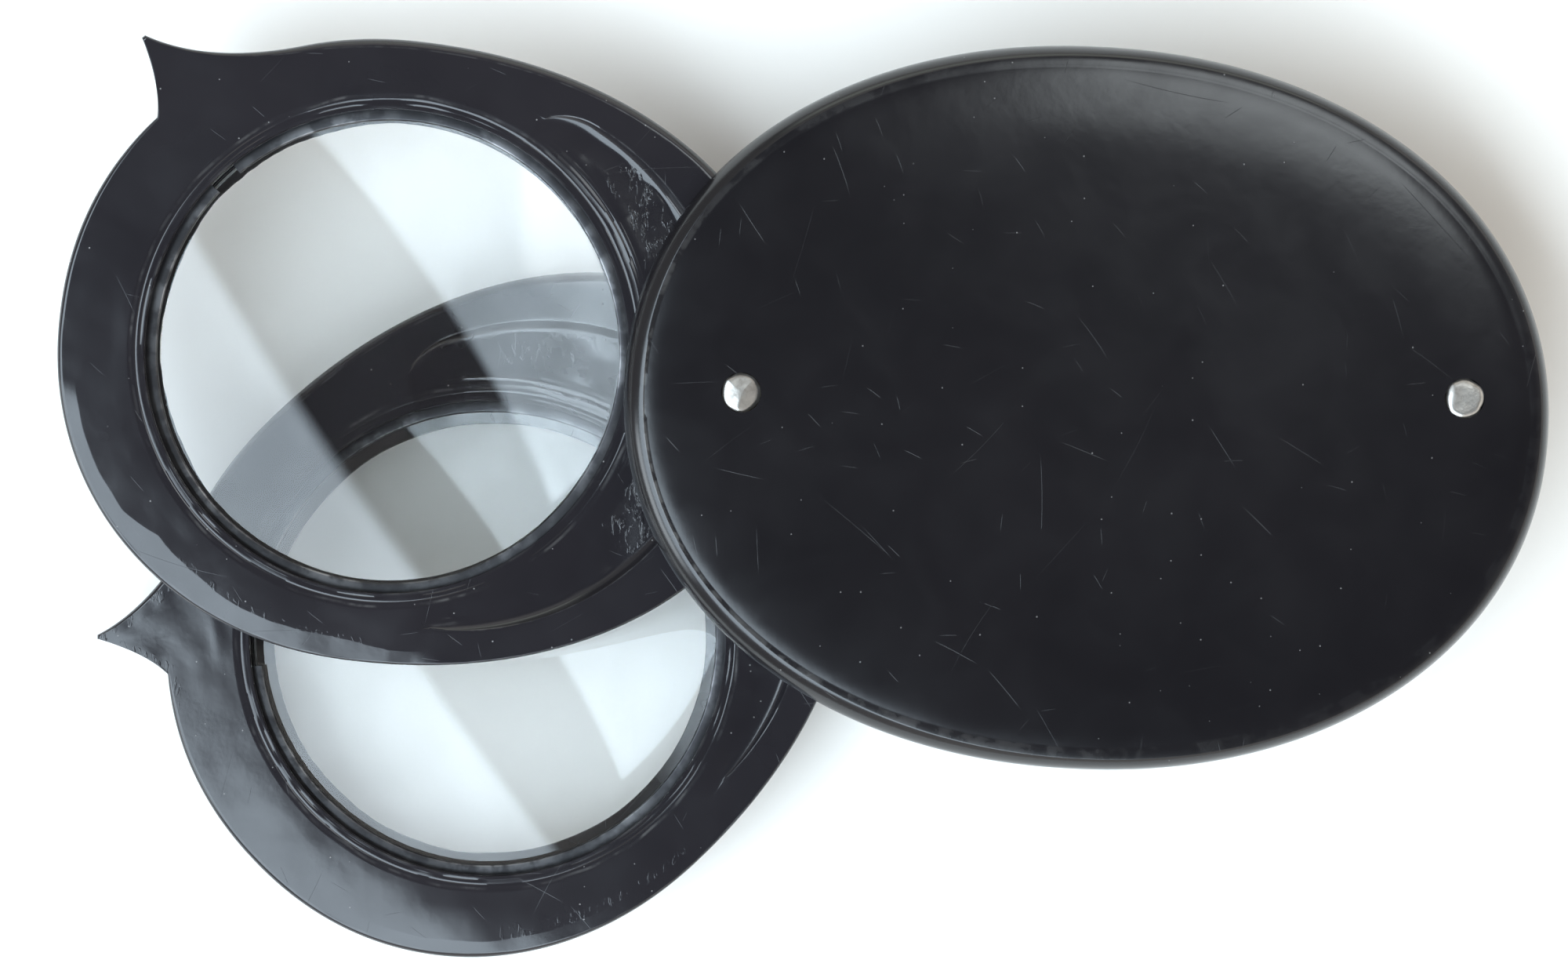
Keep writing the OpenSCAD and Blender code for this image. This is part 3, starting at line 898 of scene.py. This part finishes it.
def hub_pad(grid, thickness, reach):
    """Leaves the face full height about the pivot, where the washer rests."""
    gap = np.hypot(grid[..., 0] + reach, grid[..., 1])
    pad = 1 - smooth(HUB_PAD_R, HUB_PAD_R + HUB_PAD_BLEND, gap)
    upper = grid[..., 2] > thickness - RECESS_DEPTH - 0.2
    grid[..., 2] = np.where(upper, grid[..., 2] + (thickness - grid[..., 2]) * pad, grid[..., 2])
    return grid


def lens_frame(side, material):
    """A thick frame with a thumb horn, a seat for its glass and a crescent recess."""
    node = side + "_lens_frame"
    low, high = node_box(node)
    thickness = high[2] - low[2]
    _, reach = lens_pose(side)
    section = FrameSection(side, thickness, reach)
    grid = swung(hub_pad(np.array(section.rings), thickness, reach), side)
    piece = grid_object(side + "_frame_body", grid, closed_across=True, sharp_angle=38,
                        wear=np.array(section.wear), tooled=np.array(section.tooled))
    drill(piece, PIVOT, HUB_BORE_R, 38)
    paint_with(piece, material)
    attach(piece, side + "_frame")
    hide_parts(node)


def lens(side, clear, ground):
    """A biconvex glass with a narrow bevel at each face and a ground edge."""
    node = side + "_lens"
    curve = FRAMES[side]["curve"]
    low, high = node_box(side + "_lens_frame")
    glass_low = (high[2] - low[2] - GLASS_EDGE) / 2
    bulge = sag(curve, GLASS_R)
    turn = np.arange(GLASS_SIDES) * 2 * math.pi / GLASS_SIDES
    face_radii = np.linspace(0.4, GLASS_R - 0.15, 30)
    profile = [(r, glass_low - bulge + sag(curve, r)) for r in face_radii]
    profile += [(GLASS_R, glass_low + GLASS_BEVEL), (GLASS_R, glass_low + GLASS_EDGE - GLASS_BEVEL)]
    profile += [(r, glass_low + GLASS_EDGE + bulge - sag(curve, r)) for r in face_radii[::-1]]
    grid = np.array([np.column_stack([r * np.cos(turn), r * np.sin(turn), np.full(GLASS_SIDES, z)])
                     for r, z in profile])
    piece = grid_object(side + "_glass", swung(grid, side), capped=True, sharp_angle=25)
    paint_with(piece, clear, ground)
    middle = node_middle(node)
    for polygon in piece.data.polygons:
        x, y = polygon.center.x / MM - middle[0], polygon.center.y / MM - middle[1]
        if math.hypot(x, y) > GLASS_R - GLASS_BEVEL:
            polygon.material_index = 1
    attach(piece, side + "_frame")
    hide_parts(node)


def retaining_ring(side, material):
    """A split spring ring of soft square section whose two ends stand a little apart."""
    node = side + "_retaining_ring"
    curve = FRAMES[side]["curve"]
    low, high = node_box(side + "_lens_frame")
    thickness = high[2] - low[2]
    base = (thickness + GLASS_EDGE) / 2 + sag(curve, GLASS_R) - sag(curve, RING_INNER_R) + 0.02
    outer = SEAT_R + RING_GROOVE - 0.03
    half_gap = math.degrees(RING_GAP / SEAT_R) / 2
    turns = np.radians(np.linspace(RING_GAP_TURN + half_gap, RING_GAP_TURN + 360 - half_gap, 300))
    corner = 0.13
    section = []
    for x, z, start in ((outer - corner, base + RING_HEIGHT - corner, 0),
                        (RING_INNER_R + corner, base + RING_HEIGHT - corner, 90),
                        (RING_INNER_R + corner, base + corner, 180), (outer - corner, base + corner, 270)):
        for step in (0, 30, 60, 90):
            angle = math.radians(start + step)
            section.append((x + corner * math.cos(angle), z + corner * math.sin(angle)))
    section = np.array(section)
    rings = []
    for turn in turns:
        wobble = 0.03 * math.sin(5 * turn + FRAMES[side]["seed"])
        radius = section[:, 0] + wobble * (section[:, 0] < RING_MIDDLE_R)
        rings.append(np.column_stack([radius * math.cos(turn), radius * math.sin(turn), section[:, 1]]))
    # Lighter grey on the upper inner corner of the section: partly rubbing, partly painted highlight.
    rubbed = np.array([0.0] * 4 + [0.2, 0.6, 0.6, 0.1] + [0.0] * 8)
    x, y = RING_MIDDLE_R * np.cos(turns), RING_MIDDLE_R * np.sin(turns)
    patchy = np.clip(0.5 + 0.5 * waves(x, y, 31, 7.0), 0, 1)
    piece = grid_object(side + "_split_ring", swung(np.array(rings), side), capped=True, sharp_angle=40,
                        wear=patchy[:, None] * rubbed)
    paint_with(piece, material)
    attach(piece, side + "_frame")
    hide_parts(node)


# ---------------------------------------------------------------- stage


def flat_panel(name, half_x, half_y, level):
    """A level rectangle, in metres."""
    mesh = bpy.data.meshes.new(name)
    corners = [(-half_x, -half_y), (half_x, -half_y), (half_x, half_y), (-half_x, half_y)]
    mesh.from_pydata([(x, y, level) for x, y in corners], [], [(0, 1, 2, 3)])
    made = bpy.data.objects.new(name, mesh)
    bpy.context.scene.collection.objects.link(made)
    return made


def floor(material):
    """A wide pale floor just below the case."""
    made = flat_panel("floor", 1.6, 1.6, -0.00005)
    made.data.materials.append(material)


def sky(low, overhead, strength):
    """Soft pale surroundings, dimmer towards -X, with a darker patch straight overhead."""
    world = bpy.data.worlds.new("surroundings")
    world.use_nodes = True
    tree = world.node_tree
    background = tree.nodes["Background"]
    place = tree.nodes.new("ShaderNodeTexCoord")
    split = tree.nodes.new("ShaderNodeSeparateXYZ")
    tree.links.new(place.outputs["Generated"], split.inputs["Vector"])
    patch_edge, patch_full = math.cos(math.radians(50)), math.cos(math.radians(24))
    patch = ranged(tree, split.outputs["Z"], patch_edge, patch_full, 0.0, 1.0)
    blend = tree.nodes.new("ShaderNodeMix")
    blend.data_type = "RGBA"
    blend.inputs[6].default_value = (*low, 1)
    blend.inputs[7].default_value = (*overhead, 1)
    tree.links.new(patch, blend.inputs["Factor"])
    tree.links.new(blend.outputs[2], background.inputs["Color"])
    dimmed = ranged(tree, split.outputs["X"], -0.7, 0.1, 0.3 * strength, strength)
    tree.links.new(dimmed, background.inputs["Strength"])
    bpy.context.scene.world = world


def card_glow(name, half_x, half_y, colour, strength, soft, cloud):
    """A glow with a faint cloudiness that fades towards the edges of a card."""
    material = bpy.data.materials.new(name)
    material.use_nodes = True
    tree = material.node_tree
    tree.nodes.clear()
    place = tree.nodes.new("ShaderNodeTexCoord")
    split = tree.nodes.new("ShaderNodeSeparateXYZ")
    tree.links.new(place.outputs["Object"], split.inputs["Vector"])
    fades = []
    for axis, half in (("X", half_x), ("Y", half_y)):
        aside = tree.nodes.new("ShaderNodeMath")
        aside.operation = "ABSOLUTE"
        tree.links.new(split.outputs[axis], aside.inputs[0])
        fades.append(ranged(tree, aside.outputs["Value"], half * (1 - soft), half, 1.0, 0.0))
    fade = product(tree, *fades)
    mottle = tree.nodes.new("ShaderNodeTexNoise")
    mottle.inputs["Scale"].default_value = 9.0
    tree.links.new(place.outputs["Object"], mottle.inputs["Vector"])
    uneven = ranged(tree, mottle.outputs["Fac"], 0.35, 0.65, strength * (1 - cloud), strength, "LINEAR")
    power = product(tree, uneven, fade)
    glow = tree.nodes.new("ShaderNodeEmission")
    glow.inputs["Color"].default_value = (*colour, 1)
    tree.links.new(power, glow.inputs["Strength"])
    out = tree.nodes.new("ShaderNodeOutputMaterial")
    tree.links.new(glow.outputs["Emission"], out.inputs["Surface"])
    return material


def card(name, middle, toward, size, turn, colour, strength, soft, cloud, lamp=False):
    """A bright panel, level or facing a point, whose edges fade over the soft share.
    A lamp lights everything; any other card shows only in gloss."""
    half_x, half_y = size[0] / 2, size[1] / 2
    made = flat_panel(name, half_x, half_y, 0)
    if toward is None:
        facing = Matrix.Rotation(math.radians(turn), 4, "Z")
    else:
        facing = (Vector(toward) - Vector(middle)).to_track_quat("Z", "Y").to_matrix().to_4x4()
    made.matrix_world = Matrix.Translation(middle) @ facing
    made.data.materials.append(card_glow(name, half_x, half_y, colour, strength, soft, cloud))
    made.visible_camera = False
    made.visible_shadow = False
    made.visible_diffuse = lamp
    made.visible_transmission = lamp


def lights():
    """Pale surroundings, a window, and three faint panels that only the gloss picks up."""
    sky((0.95, 0.93, 0.89), (0.052, 0.050, 0.055), 1.35)
    # A window up to the lower left: its near edge runs between these two points, 0.6 m up
    near_edge = np.array([[-0.192, -0.020], [-0.118, -0.128]])
    along = near_edge[1] - near_edge[0]
    out = np.array([along[1], -along[0]]) / np.hypot(*along)
    middle = near_edge.mean(0) + 0.4 * out
    turn = math.degrees(math.atan2(along[1], along[0]))
    card("window", (middle[0], middle[1], 0.6), None, (1.0, 0.8), turn,
         (0.75, 0.885, 1.0), 8.3, soft=0.06, cloud=0.2, lamp=True)
    card("window_low", (-0.75, -0.25, 0.30), (-0.03, 0.0, 0.0), (0.5, 0.24), 0.0,
         (0.85, 0.94, 1.0), 8.0, soft=0.35, cloud=0.1)
    card("wall_behind", (0.0, 0.85, 0.25), (-0.03, 0.0, 0.0), (1.2, 0.3), 0.0,
         (0.88, 0.95, 0.86), 2.2, soft=0.3, cloud=0.2)
    card("skylight", (0.120, 0.180, 0.6), None, (0.20, 0.19), 0.0,
         (0.90, 0.97, 1.0), 5.6, soft=0.3, cloud=0.15)


def camera():
    """Straight above the case, rolled very slightly."""
    lens_data = bpy.data.cameras.new("camera")
    lens_data.lens = CAMERA_LENS
    lens_data.sensor_width = 36.0
    lens_data.clip_start = 0.01
    lens_data.clip_end = 20.0
    made = bpy.data.objects.new("camera", lens_data)
    top = node_box("upper_cover")[1][2]
    made.location = (
        (PIVOT[0] + CAMERA_FROM_PIVOT[0]) * MM,
        (PIVOT[1] + CAMERA_FROM_PIVOT[1]) * MM,
        (top + CAMERA_HEIGHT) * MM,
    )
    made.rotation_euler = (0, 0, math.radians(CAMERA_ROLL))
    bpy.context.scene.collection.objects.link(made)
    bpy.context.scene.camera = made
    bpy.context.scene.view_settings.view_transform = "Standard"


def build():
    """Every piece of the object."""
    case_black = black_vulcanite("case_black", 0.5, 0.35, 1.1, gloss=0.16, seed=1.3)
    frame_black = black_vulcanite("frame_black", 0.6, 0.5, 2.2, gloss=0.13, seed=4.1)
    nickel = peened_metal("peened_nickel_silver")
    steel = ring_steel("blackened_spring_steel")
    clear = clear_glass("lens_glass")
    ground = ground_glass("ground_lens_edge")
    cover("upper", case_black)
    cover("lower", case_black)
    rivet("pivot_rivet", PIVOT, [(190, 0.16, 0.30), (-20, 0.30, 0.10), (80, 0.12, 0.2)], 3, nickel)
    rivet("end_rivet", END, [(175, 0.5, 0.8), (85, 0.2, 0.8), (-60, 0.15, 0.9)], 8, nickel)
    for side in FRAMES:
        lens_frame(side, frame_black)
        lens(side, clear, ground)
        retaining_ring(side, steel)
    washer_brass = turned_metal("washer_brass", (0.58, 0.42, 0.17), 0.28)
    spacer_metal = turned_metal("spacer_metal", (0.60, 0.58, 0.55), 0.25)
    for node in ("upper_pivot_washer", "middle_pivot_washer", "lower_pivot_washer"):
        paint_with(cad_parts[node], washer_brass)
    paint_with(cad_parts["end_spacer"], spacer_metal)


build()
floor(pale_paper("pale_paper"))
lights()
camera()
